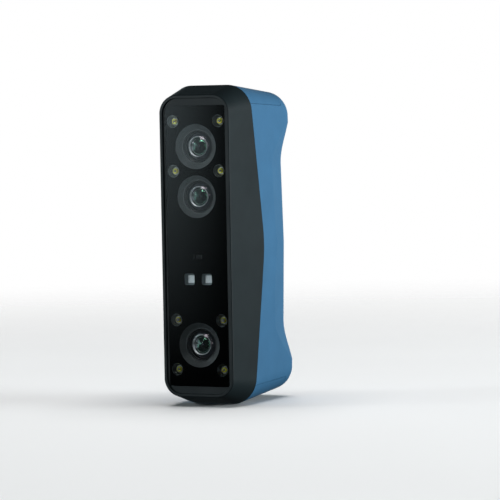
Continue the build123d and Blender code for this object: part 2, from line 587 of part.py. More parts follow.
def key(dz, hole_r):
    """A key with a softly domed top, a flange that holds it in, and a stem over its switch."""
    radius = hole_r - KEY_GAP
    top = PANEL_FACE + KEY_PROUD
    flange_rear = PANEL_FLANGE[0] - 0.05
    stem = KEY_BOARD[1] + SWITCH_H + PLUNGER_H + KEY_TRAVEL + 0.05
    profile = [(0, top - 0.35), (radius * 0.55, top - 0.22), (radius * 0.82, top), (radius - 0.3, top)]
    profile += [(radius, top - 0.3), (radius, flange_rear), (radius + KEY_FLANGE, flange_rear)]
    profile += [(radius + KEY_FLANGE, flange_rear - 0.8), (1.5, flange_rear - 0.8), (1.5, stem), (0, stem)]
    return turned(0, PANEL_Z + dz, *profile)


def key_board():
    board = rounded_block(8.6, *KEY_BOARD, PANEL_Z - 25.0, PANEL_Z + 26.0, 2.0)
    for x, z in KEY_POSTS:
        board -= rod(x, z, 0.8, *KEY_BOARD)
    return board


def key_switch(dz):
    half, rear = SWITCH_SIDE / 2, KEY_BOARD[1] + SWITCH_H
    body = block(-half, half, KEY_BOARD[1], rear, PANEL_Z + dz - half, PANEL_Z + dz + half)
    return body + rod(0, PANEL_Z + dz, PLUNGER_R, rear, rear + PLUNGER_H)


# ---- bottom end ----
def end_z(depth):
    return HEIGHT / 2 - REAR_END_DRAFT * (depth - PART_DEPTH_END)


def usb_shell():
    mouth = -end_z(USB_DEPTH) + 0.5
    shell = end_slot(USB_W, USB_T, USB_DEPTH, mouth, mouth + USB_LENGTH)
    inner_w, inner_t = USB_W - 2 * USB_WALL, USB_T - 2 * USB_WALL
    return shell - end_slot(inner_w, inner_t, USB_DEPTH, mouth, mouth + USB_LENGTH - 1.5)


def usb_tongue():
    mouth = -end_z(USB_DEPTH) + 0.5
    half_t = 0.35
    return block(-3.3, 3.3, USB_DEPTH - half_t, USB_DEPTH + half_t, mouth + 0.9, mouth + USB_LENGTH - 1.5)


def tripod_insert():
    bottom = -end_z(TRIPOD_DEPTH) + 0.5
    insert = end_rod(TRIPOD_OUTER_R, TRIPOD_DEPTH, bottom, bottom + TRIPOD_LENGTH)
    return insert - end_rod(TRIPOD_R, TRIPOD_DEPTH, bottom, bottom + TRIPOD_LENGTH)


def main():
    os.makedirs("parts", exist_ok=True)
    save("front_housing", front_housing())
    save("cover_glass", slab(glass_outline(), RECESS, MASK_FRONT))
    save("glass_mask", glass_mask())
    save("window_adhesive", window_adhesive())
    save("rear_shell", rear_shell())
    save("top_cap", end_cap(1))
    save("bottom_cap", end_cap(-1))

    for name, (z, window_r) in CAMERAS.items():
        save(f"lens_hood_{name}", lens_hood(z, window_r))
        save(f"lens_barrel_{name}", lens_barrel(z))
        save(f"lens_glass_{name}", *lens_glass(z))
        save(f"camera_holder_{name}", camera_holder(z))
        save(f"camera_board_{name}", camera_board(z))
    save("image_sensors", *[image_sensor(z) for z, _ in CAMERAS.values()])
    save("camera_flexes", *[camera_flex(z) for z, _ in CAMERAS.values()])

    save("lamp_board_upper", lamp_board(1))
    save("lamp_board_lower", lamp_board(-1))
    save("lamp_reflectors", *[lamp_reflector(x, z) for x, z in LAMPS])
    save("lamp_leds", *[lamp_led(x, z) for x, z in LAMPS])
    save("projector_housings", *[projector(side) for side in (-1, 1)])
    save("projector_diffusers", *[projector_diffuser(side) for side in (-1, 1)])
    save("projector_board", projector_board())
    save("proximity_sensor", proximity_sensor())
    save("sensor_boot", sensor_boot())

    save("optical_bench", optical_bench())
    save("main_board", main_board())
    save("board_connectors", *board_connectors())
    save("board_standoffs", *[board_standoff(x, z) for x, z in BOARD_SCREWS])
    rear, half = MAIN_BOARD[1], SHIELD_HALF
    save("processor_shield", block(-half, half, rear, rear + SHIELD_H, SHIELD_Z - half, SHIELD_Z + half))
    rear += SHIELD_H
    save("thermal_pad", block(-half + 2, half - 2, rear, rear + PAD_T, SHIELD_Z - half + 2, SHIELD_Z + half - 2))
    save("heatsink", heatsink())
    save("battery_pack", battery_pack())
    save("battery_bracket", battery_bracket())
    save("battery_lead", *battery_lead())
    save("wireless_antennas", *[antenna(side) for side in (-1, 1)])

    save("key_panel", key_panel())
    for name, (dz, radius) in KEYS.items():
        save(f"{name}_key", key(dz, radius))
    save("key_board", key_board())
    save("key_switches", *[key_switch(dz) for dz, _ in KEYS.values()])
    save("status_light", rod(0, PANEL_Z + LIGHT_DZ, LIGHT_R, KEY_BOARD[1], PANEL_FACE))

    save("usb_shell", usb_shell())
    save("usb_tongue", usb_tongue())
    save("tripod_insert", tripod_insert())

    seat = LEDGE_REAR + 0.9
    save("case_screws", *[screw(x, z, 1.05, 22.0, 1.9, seat) for x, z in CASE_SCREWS])
    save("bench_screws", *[screw(x, z, 0.95, 6.0, 1.8, BENCH[1], -1) for x, z in BENCH_SCREWS])
    save("lamp_board_screws", *[screw(x, z, 0.8, 3.5, 1.4, LAMP_BOARD[0]) for x, z in LAMP_SCREWS])
    save("main_board_screws", *[screw(x, z, 0.8, 6.0, 1.7, MAIN_BOARD[1], -1) for x, z in BOARD_SCREWS])
    save("key_board_screws", *[screw(x, z, 0.6, 4.0, 1.2, KEY_BOARD[0]) for x, z in KEY_POSTS])


if __name__ == "__main__":
    main()
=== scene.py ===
"""Looks for the handheld 3-D scanner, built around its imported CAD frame. Metres throughout, but
the profile of a turned piece is in millimetres, as radii and depths behind the front rim."""

import json
import math

import bmesh
import bpy
from mathutils import Matrix, Vector


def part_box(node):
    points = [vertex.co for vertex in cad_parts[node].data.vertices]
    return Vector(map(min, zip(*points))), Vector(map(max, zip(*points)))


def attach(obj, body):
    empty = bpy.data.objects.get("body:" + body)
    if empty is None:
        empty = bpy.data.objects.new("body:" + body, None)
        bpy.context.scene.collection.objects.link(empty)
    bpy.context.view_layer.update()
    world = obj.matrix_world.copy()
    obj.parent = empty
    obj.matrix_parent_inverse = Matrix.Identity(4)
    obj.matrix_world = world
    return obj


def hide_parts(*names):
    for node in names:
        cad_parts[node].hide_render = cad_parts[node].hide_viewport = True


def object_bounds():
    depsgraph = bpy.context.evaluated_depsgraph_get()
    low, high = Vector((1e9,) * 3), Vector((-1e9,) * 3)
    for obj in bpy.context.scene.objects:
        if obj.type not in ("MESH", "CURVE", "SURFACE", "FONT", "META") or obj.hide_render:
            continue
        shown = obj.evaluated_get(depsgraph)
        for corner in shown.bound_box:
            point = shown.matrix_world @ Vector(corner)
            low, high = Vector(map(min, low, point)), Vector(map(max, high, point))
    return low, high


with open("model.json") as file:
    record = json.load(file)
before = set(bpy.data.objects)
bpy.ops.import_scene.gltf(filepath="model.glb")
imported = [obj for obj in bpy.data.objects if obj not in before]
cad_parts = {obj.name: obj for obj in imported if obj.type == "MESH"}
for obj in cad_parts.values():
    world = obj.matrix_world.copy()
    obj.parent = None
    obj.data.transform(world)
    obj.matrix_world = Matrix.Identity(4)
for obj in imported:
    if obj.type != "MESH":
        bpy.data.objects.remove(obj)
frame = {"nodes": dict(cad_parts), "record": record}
cad_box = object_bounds()
NODES = frame["nodes"]
MM = 0.001
FRONT_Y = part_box("front_housing")[0].y


def middle(node):
    """The centre of a CAD node's box."""
    low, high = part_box(node)
    return (low + high) / 2


# ---- camera ----
AZIMUTH, ELEVATION, ROLL = math.radians(25.46), math.radians(2.62), math.radians(1.07)
CAMERA_DISTANCE = 1.4264
SIDE_SHIFT, UP_SHIFT = 0.02669, -0.00088  # how far the camera stands off the object's axis
AIM_DROP = 0.00141
FOCAL_LENGTH, SENSOR = 206.8, 36.0


def make_camera():
    """A long lens, a little above the object and at its front right."""
    sin_a, cos_a = math.sin(AZIMUTH), math.cos(AZIMUTH)
    sin_e, cos_e = math.sin(ELEVATION), math.cos(ELEVATION)
    right = Vector((cos_a, sin_a, 0))
    forward = Vector((-sin_a * cos_e, cos_a * cos_e, -sin_e))
    up = Vector((-sin_a * sin_e, cos_a * sin_e, cos_e))
    place = Vector((0, FRONT_Y, -AIM_DROP)) + right * SIDE_SHIFT + up * UP_SHIFT
    place -= forward * CAMERA_DISTANCE
    rolled_right = right * math.cos(ROLL) - up * math.sin(ROLL)
    rolled_up = right * math.sin(ROLL) + up * math.cos(ROLL)
    turn = Matrix((rolled_right, rolled_up, -forward)).transposed().to_4x4()
    data = bpy.data.cameras.new("camera")
    data.lens = FOCAL_LENGTH
    data.sensor_width = SENSOR
    data.clip_end = 20
    camera = bpy.data.objects.new("camera", data)
    camera.matrix_world = Matrix.Translation(place) @ turn
    bpy.context.scene.collection.objects.link(camera)
    bpy.context.scene.camera = camera


# ---- node trees ----
class Tree:
    """A node tree, with short ways to add and link its nodes."""

    def __init__(self, tree):
        self.tree = tree
        self.tree.nodes.clear()
        self.coords = self.node("ShaderNodeTexCoord")

    def node(self, kind, inputs=None, **settings):
        made = self.tree.nodes.new(kind)
        for key, value in settings.items():
            setattr(made, key, value)
        for key, value in (inputs or {}).items():
            made.inputs[key].default_value = value
        return made

    def link(self, source, out_name, target, in_name):
        self.tree.links.new(source.outputs[out_name], target.inputs[in_name])

    def math(self, operation, a, b):
        """A Math node; a and b are numbers or the outputs of other nodes."""
        made = self.node("ShaderNodeMath", operation=operation)
        for slot, value in zip(made.inputs, (a, b)):
            if isinstance(value, (int, float)):
                slot.default_value = value
            else:
                self.tree.links.new(value, slot)
        return made.outputs[0]

    def step(self, value, start, end, low=0.0, high=1.0):
        """Rises smoothly from low to high as value goes from start to end."""
        made = self.node("ShaderNodeMapRange", interpolation_type="SMOOTHSTEP")
        made.inputs["From Min"].default_value = start
        made.inputs["From Max"].default_value = end
        made.inputs["To Min"].default_value = low
        made.inputs["To Max"].default_value = high
        self.tree.links.new(value, made.inputs["Value"])
        return made.outputs["Result"]

    def axes(self, output):
        """The x, y and z of one of the texture coordinates."""
        made = self.node("ShaderNodeSeparateXYZ")
        self.link(self.coords, output, made, "Vector")
        return made.outputs


class Shader(Tree):
    """A node material around the Principled shader."""

    def __init__(self, name, **values):
        self.material = bpy.data.materials.new(name)
        self.material.use_nodes = True
        super().__init__(self.material.node_tree)
        self.output = self.node("ShaderNodeOutputMaterial")
        self.main = self.node("ShaderNodeBsdfPrincipled")
        self.link(self.main, "BSDF", self.output, "Surface")
        for key, value in values.items():
            self.main.inputs[key.replace("_", " ")].default_value = value

    def noise(self, scale, detail, roughness=0.5, stretch=(1, 1, 1)):
        mapping = self.node("ShaderNodeMapping", {"Scale": stretch})
        self.link(self.coords, "Object", mapping, "Vector")
        inputs = {"Scale": scale, "Detail": detail, "Roughness": roughness}
        texture = self.node("ShaderNodeTexNoise", inputs)
        self.link(mapping, "Vector", texture, "Vector")
        return texture.outputs["Fac"]

    def ramp(self, value, stops):
        """A colour that runs through stops of (position, (red, green, blue))."""
        made = self.node("ShaderNodeValToRGB")
        elements = made.color_ramp.elements
        while len(elements) < len(stops):
            elements.new(1.0)
        for element, (position, color) in zip(elements, stops):
            element.position = position
            element.color = (*color, 1)
        self.tree.links.new(value, made.inputs["Fac"])
        return made.outputs["Color"]

    def color(self, value, dark, light):
        """Base colour from dark to light as a noise goes through its middle range."""
        ramp = self.ramp(value, [(0.35, dark), (0.65, light)])
        self.tree.links.new(ramp, self.main.inputs["Base Color"])
        return self

    def rough(self, value, smooth, rough):
        """Roughness from smooth to rough as a noise goes through its middle range."""
        spread = self.step(value, 0.3, 0.7, smooth, rough)
        self.tree.links.new(spread, self.main.inputs["Roughness"])
        return self

    def bump(self, value, distance):
        made = self.node("ShaderNodeBump", {"Distance": distance, "Strength": 1.0})
        self.tree.links.new(value, made.inputs["Height"])
        self.link(made, "Normal", self.main, "Normal")
        return self


def shade(color, factor):
    return tuple(c * factor for c in color)


# ---- materials, one function for each family ----
def moulded(name, color, smooth=0.42, rough=0.5, mottle=0.1, gloss=0.5):
    """Moulded plastic with a fine spark-eroded grain."""
    shader = Shader(name, Specular_IOR_Level=gloss)
    shader.color(shader.noise(70, 4), shade(color, 1 - mottle), shade(color, 1 + mottle))
    shader.rough(shader.noise(45, 3), smooth, rough)
    return shader.bump(shader.noise(2600, 2, 0.6), 0.02 * MM).material


def rubber(name, color):
    """Dull rubber with a fine pebbled skin."""
    shader = Shader(name, Specular_IOR_Level=0.3)
    shader.color(shader.noise(120, 4), shade(color, 0.85), shade(color, 1.15))
    shader.rough(shader.noise(60, 2), 0.62, 0.78)
    return shader.bump(shader.noise(4200, 3, 0.7), 0.025 * MM).material


def metal(name, color, smooth, rough, stretch=(1, 1, 1), grain=900):
    """Metal whose grain runs along the axis that stretch makes small."""
    shader = Shader(name, Metallic=1.0)
    lines = shader.noise(grain, 4, 0.65, stretch)
    shader.color(lines, shade(color, 0.86), shade(color, 1.06))
    shader.rough(lines, smooth, rough)
    return shader.bump(lines, 0.012 * MM).material


def circuit_board(name, mask, copper):
    """Solder mask over faint rectangular runs of copper, with bright pads in places."""
    shader = Shader(name)
    layout = {"Scale": 260, "Mortar Size": 0.012, "Mortar Smooth": 0.1}
    brick = shader.node("ShaderNodeTexBrick", layout)
    swap = shader.node("ShaderNodeMapping", {"Rotation": (math.pi / 2, 0, 0)})
    shader.link(shader.coords, "Object", swap, "Vector")
    shader.link(swap, "Vector", brick, "Vector")
    brick.inputs["Color1"].default_value = (*mask, 1)
    brick.inputs["Color2"].default_value = (*shade(mask, 1.35), 1)
    brick.inputs["Mortar"].default_value = (*copper, 1)
    shader.link(brick, "Color", shader.main, "Base Color")
    shader.rough(shader.noise(300, 2), 0.3, 0.42)
    return shader.bump(shader.noise(1500, 3), 0.01 * MM).material


def film(name, dark, light, smooth=0.2, rough=0.3):
    """A glossy skin with slight waves, such as heat-shrink or polyimide."""
    shader = Shader(name)
    shader.color(shader.noise(160, 4), dark, light)
    shader.rough(shader.noise(200, 2), smooth, rough)
    return shader.bump(shader.noise(420, 3), 0.06 * MM).material


def turned_black(name, color, smooth, rough):
    """A matt black turned surface with fine grooves round the lens axis."""
    shader = Shader(name)
    shader.color(shader.noise(300, 3), shade(color, 0.85), shade(color, 1.15))
    shader.rough(shader.noise(200, 2), smooth, rough)
    return shader.bump(shader.noise(5200, 2, 0.5, (0.25, 1, 0.25)), 0.01 * MM).material


def print_black():
    """The print on the back of the glass. The glass in front of it carries the gloss."""
    shader = Shader("mask print", Specular_IOR_Level=0.0, Roughness=0.6)
    shader.color(shader.noise(900, 4), (0.0012, 0.0016, 0.0018), (0.0018, 0.0024, 0.0026))
    return shader.material


def lens(name, tint, coating, ior=1.55):
    """Coated glass that lets light through to what is behind it."""
    shader = Shader(name, Transmission_Weight=1.0, IOR=ior, Base_Color=(*tint, 1))
    shader.main.inputs["Specular Tint"].default_value = (*coating, 1)
    shader.rough(shader.noise(400, 3), 0.0, 0.012)
    clear = shader.node("ShaderNodeBsdfTransparent", {"Color": (*tint, 1)})
    path = shader.node("ShaderNodeLightPath")
    mix = shader.node("ShaderNodeMixShader")
    shader.link(path, "Is Shadow Ray", mix, "Fac")
    shader.link(shader.main, "BSDF", mix, 1)
    shader.link(clear, "BSDF", mix, 2)
    shader.link(mix, "Shader", shader.output, "Surface")
    return shader.material


def phosphor():
    """The yellow converter on a lamp."""
    shader = Shader("lamp phosphor", Subsurface_Weight=0.1, Subsurface_Scale=0.0003)
    shader.color(shader.noise(2500, 4), (0.60, 0.54, 0.006), (0.72, 0.66, 0.012))
    shader.rough(shader.noise(900, 2), 0.35, 0.5)
    return shader.bump(shader.noise(5000, 3), 0.01 * MM).material


def diffuser():
    """Frosted glass with a lit, milky look."""
    shader = Shader("projector diffuser", Coat_Weight=0.6, Coat_Roughness=0.1)
    shader.color(shader.noise(1500, 4), (0.70, 0.77, 0.81), (0.84, 0.90, 0.94))
    shader.rough(shader.noise(1200, 2), 0.25, 0.4)
    return shader.bump(shader.noise(3200, 2), 0.012 * MM).material


# ---- finishes ----
BLACK = (0.0155, 0.0235, 0.026)
BLUE = (0.063, 0.204, 0.380)
ALONG_X, ALONG_Z = (0.06, 1, 1), (1, 1, 0.06)


def make_finishes():
    """The record's material slots, as finished materials."""
    return {
        "housing_black": moulded("housing black", BLACK, gloss=0.2),
        "case_blue": moulded("case blue", BLUE, mottle=0.04, gloss=0.3),
        "cap_blue": moulded("cap blue", shade(BLUE, 0.97), mottle=0.04, gloss=0.3),
        "cover_glass": lens("cover glass", (0.98, 1.0, 1.0), (1, 1, 1), 1.5),
        "mask_print": print_black(),
        "adhesive_black": rubber("adhesive black", (0.01, 0.01, 0.01)),
        "hood_black": turned_black("hood black", (0.021, 0.026, 0.028), 0.5, 0.6),
        "barrel_black": turned_black("barrel black", (0.008, 0.009, 0.010), 0.35, 0.45),
        "lens_glass": lens("lens glass", (0.97, 0.98, 1.0), (1.0, 0.84, 0.94)),
        "holder_black": moulded("holder black", (0.02, 0.02, 0.021)),
        "board_green": circuit_board("board green", (0.012, 0.09, 0.04), (0.03, 0.16, 0.08)),
        "sensor_silicon": film("sensor silicon", (0.05, 0.05, 0.09), (0.14, 0.12, 0.2), 0.08, 0.15),
        "flex_amber": film("flex amber", (0.32, 0.13, 0.02), (0.45, 0.2, 0.04)),
        "board_white": circuit_board("board white", (0.55, 0.56, 0.55), (0.62, 0.6, 0.5)),
        "reflector_silver": metal("reflector silver", (0.13, 0.145, 0.15), 0.3, 0.42, grain=500),
        "lamp_phosphor": phosphor(),
        "projector_silver": moulded("projector housing", (0.18, 0.22, 0.235), 0.34, 0.45),
        "diffuser_white": diffuser(),
        "sensor_black": film("sensor package", (0.05, 0.055, 0.058), (0.08, 0.085, 0.09)),
        "boot_rubber": rubber("boot rubber", (0.02, 0.02, 0.02)),
        "bench_aluminium": metal("bench aluminium", (0.62, 0.63, 0.65), 0.28, 0.42, ALONG_Z),
        "connector_white": moulded("connector ivory", (0.62, 0.58, 0.47)),
        "standoff_brass": metal("standoff brass", (0.75, 0.56, 0.26), 0.22, 0.34),
        "shield_steel": metal("shield steel", (0.6, 0.61, 0.62), 0.24, 0.38, ALONG_X),
        "pad_grey": rubber("thermal pad", (0.3, 0.32, 0.35)),
        "sink_aluminium": metal("sink aluminium", (0.16, 0.165, 0.175), 0.35, 0.5, ALONG_Z),
        "battery_wrap": film("battery wrap", (0.01, 0.05, 0.075), (0.016, 0.07, 0.1)),
        "bracket_black": moulded("bracket black", (0.02, 0.02, 0.021)),
        "lead_red": rubber("lead red", (0.36, 0.02, 0.015)),
        "panel_black": moulded("panel black", (0.017, 0.022, 0.024), 0.32, 0.42),
        "key_grey": rubber("key grey", (0.05, 0.058, 0.062)),
        "switch_black": moulded("switch black", (0.018, 0.018, 0.019)),
        "light_pipe": film("light pipe", (0.5, 0.62, 0.55), (0.62, 0.74, 0.66), 0.12, 0.2),
        "tongue_black": film("tongue black", (0.012, 0.012, 0.013), (0.02, 0.02, 0.021)),
        "screw_steel": metal("screw steel", (0.5, 0.51, 0.52), 0.2, 0.32),
    }


def paint_nodes(finishes):
    """Gives each CAD node the finish of its material slot."""
    for subpart in frame["record"]["subparts"]:
        mesh = NODES[subpart["node"]].data
        mesh.materials.clear()
        mesh.materials.append(finishes[subpart["material_slot"]])


# ---- pieces ----
def add_piece(name, bm, material, body="case", sharp=35):
    """Makes an object of a bmesh, in the shared frame, and lets it ride on a CAD body."""
    bmesh.ops.remove_doubles(bm, verts=bm.verts, dist=1e-7)
    bmesh.ops.recalc_face_normals(bm, faces=bm.faces)
    mesh = bpy.data.meshes.new(name)
    bm.to_mesh(mesh)
    bm.free()
    mesh.polygons.foreach_set("use_smooth", [True] * len(mesh.polygons))
    mesh.set_sharp_from_angle(angle=math.radians(sharp))
    mesh.materials.append(material)
    piece = bpy.data.objects.new(name, mesh)
    bpy.context.scene.collection.objects.link(piece)
    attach(piece, body)
    return piece


def turn(bm, x, z, profile, segments=72):
    """Turns a closed profile of (radius, depth), in millimetres, about the line along Y through
    (x, z)."""
    rings = []
    for radius, depth in profile:
        y = FRONT_Y + depth * MM
        if radius == 0:
            rings.append([bm.verts.new((x, y, z))])
            continue
        angles = [2 * math.pi * i / segments for i in range(segments)]
        reach = radius * MM
        points = [(x + reach * math.cos(a), y, z + reach * math.sin(a)) for a in angles]
        rings.append([bm.verts.new(point) for point in points])
    for ring, after in zip(rings, rings[1:] + rings[:1]):
        if len(ring) == 1 and len(after) == 1:
            continue
        for i in range(segments):
            j = (i + 1) % segments
            corners = [ring[i % len(ring)], ring[j % len(ring)]]
            corners += [after[j % len(after)], after[i % len(after)]]
            bm.faces.new([v for k, v in enumerate(corners) if v not in corners[:k]])


def arc(apex, bend, start, end, count):
    """Points of a lens surface of radius bend, between two distances from the axis."""
    radii = [start + (end - start) * i / (count - 1) for i in range(count)]
    return [(r, apex + bend - math.copysign(math.sqrt(bend * bend - r * r), bend)) for r in radii]


def lens_stack(name, finishes):
    """What is seen in a camera: a gloss ring round the dome, and behind it a shroud, a bright ring
    and a coated element, with the stop and a last small element down the bore."""
    z = middle(f"lens_barrel_{name}").z

    def lathe(part, profile, finish, segments=96):
        bm = bmesh.new()
        turn(bm, 0, z, profile, segments)
        return add_piece(f"{part}_{name}", bm, finishes[finish])

    outer = [(7.46, 5.62), (7.5, 5.2), (7.66, 5.04), (7.9, 4.96), (8.02, 5.06), (8.04, 5.62)]
    lathe("dome_ring", outer, "gloss ring")
    skirt = arc(3.22, 7.97, 6.4, 4.92, 12)
    skirt += [(4.92, 5.37), (5.48, 5.37), (5.52, 6.52), (6.38, 6.52)]
    lathe("shroud", skirt, "shroud")
    bright = [(4.42, 5.35), (4.44, 5.1), (4.56, 4.88), (4.72, 4.75), (4.84, 4.8)]
    lathe("bright_ring", bright + [(4.9, 4.92), (4.9, 5.35)], "ring")
    front, back = arc(3.75, 5.7, 0, 4.3, 16), arc(4.25, 5.7, 0, 4.3, 16)
    lathe("coated_element", front + back[::-1], "coated lens")
    stop = [(1.7, 9.45), (1.75, 9.35), (4.0, 9.3), (4.0, 9.7), (1.75, 9.6)]
    lathe("aperture_stop", stop, "stop", 72)
    front, back = arc(9.3, 3.2, 0, 1.6, 10), arc(10.6, -4.0, 0, 1.6, 10)
    lathe("rear_element", front + back[::-1], "pupil lens", 48)


LAMP_HALF, LAMP_ROW = 1.4, 24.7  # half of a lamp's package, and the step between two rows


def lamp_places():
    """The middles of the lamps, and how wide the grey spot on each is."""
    low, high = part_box("lamp_leds")
    pad, row = LAMP_HALF * MM, LAMP_ROW * MM
    top, bottom = high.z - pad, low.z + pad
    rows = ((top, 0.55), (top - row, 0.55), (bottom + row, 0.95), (bottom, 0.55))
    return [(x, z, spot) for z, spot in rows for x in (low.x + pad, high.x - pad)]


def make_lamps(finishes):
    """Each lamp: a ceramic package, a round of phosphor with a grey spot, and a clear dome."""
    packages, rounds, spots, domes = (bmesh.new() for _ in range(4))
    for x, z, spot in lamp_places():
        turn(packages, x, z, [(0, 4.2), (1.2, 4.2), (1.38, 4.3), (1.38, 4.6), (0, 4.6)], 40)
        plate = [(0, 3.82), (1.3, 3.84), (1.42, 3.92), (1.42, 4.14), (1.3, 4.2), (0, 4.2)]
        turn(rounds, x, z, plate, 48)
        button = [(0, 3.0), (spot - 0.12, 3.02), (spot, 3.12), (spot, 3.2), (0, 3.2)]
        turn(spots, x, z, button, 32)
        turn(domes, x, z, arc(3.12, 2.2, 0, 1.3, 9) + [(1.3, 3.78), (0, 3.78)], 40)
    made = add_piece("lamp_packages", packages, finishes["ceramic"])
    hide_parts("lamp_leds")
    add_piece("lamp_phosphors", rounds, finishes["lamp_phosphor"])
    add_piece("lamp_spots", spots, finishes["lamp spot"])
    add_piece("lamp_domes", domes, finishes["lamp dome"])


# ---- keys and sockets ----
def extrude(bm, outline, front, back):
    """A flat shape with corners in X and Z in metres, between two depths in millimetres."""
    depths = [FRONT_Y + depth * MM for depth in (front, back)]
    layers = [[bm.verts.new((x, y, z)) for x, z in outline] for y in depths]
    bm.faces.new(layers[0])
    bm.faces.new(layers[1][::-1])
    for i in range(len(outline)):
        j = (i + 1) % len(outline)
        bm.faces.new([layers[0][i], layers[1][i], layers[1][j], layers[0][j]])


def block(bm, low, high):
    """A box between two corners."""
    made = bmesh.ops.create_cube(bm, size=1)
    size = Vector(high) - Vector(low)
    bmesh.ops.scale(bm, verts=made["verts"], vec=size)
    bmesh.ops.translate(bm, verts=made["verts"], vec=(Vector(low) + Vector(high)) / 2)


def ring_slice(x, z, inner, outer, start, end, count=28):
    """The outline of a part of a ring, between two angles in degrees."""
    angles = [math.radians(start + (end - start) * i / count) for i in range(count + 1)]
    ends = ((outer * MM, angles), (inner * MM, angles[::-1]))
    return [(x + r * math.cos(a), z + r * math.sin(a)) for r, run in ends for a in run]


SYMBOL_BACK, SYMBOL_FACE = 59.0, 59.36  # depths behind the front rim, in millimetres
BAR_HALF_T, BAR_HALF_L = 0.22 * MM, 1.15 * MM  # the bars of the plus and minus signs


def rectangle(x0, x1, z0, z1):
    """The outline of a bar, for extrude."""
    return [(x0, z0), (x1, z0), (x1, z1), (x0, z1)]


def make_symbols(finishes):
    """The raised marks on the four keys."""
    a, b, back, face = BAR_HALF_T, BAR_HALF_L, SYMBOL_BACK, SYMBOL_FACE
    for name in ("plus", "minus", "scan", "power"):
        centre = middle(f"{name}_key")
        x, z = centre.x, centre.z
        bm = bmesh.new()
        if name == "plus":
            corners = [(a, a), (b, a), (b, -a), (a, -a), (a, -b), (-a, -b)]
            corners += [(-p, -q) for p, q in corners]
            extrude(bm, [(x + p, z + q) for p, q in corners], back, face)
        elif name == "minus":
            extrude(bm, rectangle(x - b, x + b, z - a, z + a), back, face)
        elif name == "scan":
            ring = [(1.95, back), (2.35, back), (2.35, face), (2.28, 59.42)]
            turn(bm, x, z, ring + [(2.02, 59.42), (1.95, face)])
            turn(bm, x, z, [(0, back), (0.55, back), (0.55, 59.3), (0.45, face), (0, face)], 32)
        else:
            half = 0.14 * MM
            extrude(bm, ring_slice(x, z, 0.85, 1.13, 125, 415), back, 59.38)
            stem = rectangle(x - half, x + half, z + 0.1 * MM, z + 1.3 * MM)
            extrude(bm, stem, back, 59.38)
        material, slot = finishes["symbol"], "connector_white"
        add_piece(f"{name}_symbol", bm, material, body=name, sharp=30)


def make_contacts(finishes):
    """Two rows of contacts on the tongue of the USB inlet."""
    floor_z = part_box("usb_tongue")[0].z
    bm = bmesh.new()
    for i in range(12):
        x = (i - 5.5) * 0.5 * MM
        for y in (middle("usb_tongue").y - 0.35 * MM, middle("usb_tongue").y + 0.35 * MM):
            start = (x - 0.13 * MM, y - 0.03 * MM, floor_z + 0.5 * MM)
            block(bm, start, (x + 0.13 * MM, y + 0.03 * MM, floor_z + 3.0 * MM))
    add_piece("usb_contacts", bm, finishes["gold"])


THREAD_R, THREAD_DEPTH, THREAD_PITCH = 2.6 * MM, 0.55 * MM, 1.27 * MM
THREAD_FLARE, THREAD_SIDES, THREAD_STEPS = 0.6 * MM, 48, 12  # steps are for each pitch


def make_thread(finishes):
    """The tripod bush, with a helical thread in its bore and a flare at its mouth."""
    low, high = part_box("tripod_insert")
    centre, outer = (low + high) / 2, (high.x - low.x) / 2
    rows = int((high.z - low.z) / THREAD_PITCH * THREAD_STEPS)
    bm = bmesh.new()

    def circle(radii, z):
        ring = []
        for i, radius in enumerate(radii):
            angle = 2 * math.pi * i / THREAD_SIDES
            x, y = centre.x + radius * math.cos(angle), centre.y + radius * math.sin(angle)
            ring.append(bm.verts.new((x, y, z)))
        return ring

    grid = []
    for j in range(rows + 1):
        z = low.z + (high.z - low.z) * j / rows
        flare = THREAD_FLARE * max(0.0, 1 - (z - low.z) / THREAD_FLARE)
        radii = []
        for i in range(THREAD_SIDES):
            phase = ((z - low.z) / THREAD_PITCH - i / THREAD_SIDES) % 1.0
            radius = THREAD_R + THREAD_DEPTH * max(0.0, 1 - abs(phase - 0.5) * 2.4)
            radii.append(max(radius, THREAD_R + flare))
        grid.append(circle(radii, z))
    grid += [circle([outer] * THREAD_SIDES, z) for z in (high.z, low.z)]
    for ring, after in zip(grid, grid[1:] + grid[:1]):
        for i in range(THREAD_SIDES):
            j = (i + 1) % THREAD_SIDES
            bm.faces.new([ring[i], ring[j], after[j], after[i]])
    made = add_piece("tripod_thread", bm, finishes["brass"], sharp=50)
    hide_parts("tripod_insert")


def make_pieces(finishes):
    for name in ("upper", "middle", "lower"):
        lens_stack(name, finishes)
    make_lamps(finishes)
    make_symbols(finishes)
    make_contacts(finishes)
    make_thread(finishes)


def extra_finishes(finishes):
    """Finishes of the pieces made here."""
    finishes["ring"] = metal("bright ring", (0.88, 0.87, 0.89), 0.34, 0.42)
    dark, light = (0.012, 0.013, 0.014), (0.02, 0.021, 0.022)
    finishes["gloss ring"] = film("gloss ring", dark, light, 0.12, 0.2)
    finishes["shroud"] = turned_black("shroud", (0.020, 0.022, 0.028), 0.3, 0.4)
    finishes["stop"] = turned_black("aperture stop", (0.012, 0.013, 0.014), 0.3, 0.45)
    finishes["coated lens"] = lens("green coated lens", (0.95, 1.0, 0.97), (0.42, 1.0, 0.66), 1.9)
    finishes["pupil lens"] = lens("amber coated lens", (0.6, 0.55, 0.5), (1.0, 0.6, 0.3), 1.9)
    finishes["lamp dome"] = lens("lamp dome", (1.0, 1.0, 1.0), (1.0, 1.0, 1.0), 1.45)
    finishes["lamp spot"] = moulded("lamp spot", (0.13, 0.135, 0.125))
    finishes["ceramic"] = moulded("lamp ceramic", (0.3, 0.3, 0.28))
    finishes["symbol"] = moulded("key symbol", (0.62, 0.65, 0.66))
    finishes["gold"] = metal("contact gold", (0.85, 0.6, 0.25), 0.15, 0.25, ALONG_Z)
    finishes["brass"] = metal("bush brass", (0.72, 0.54, 0.26), 0.25, 0.35)


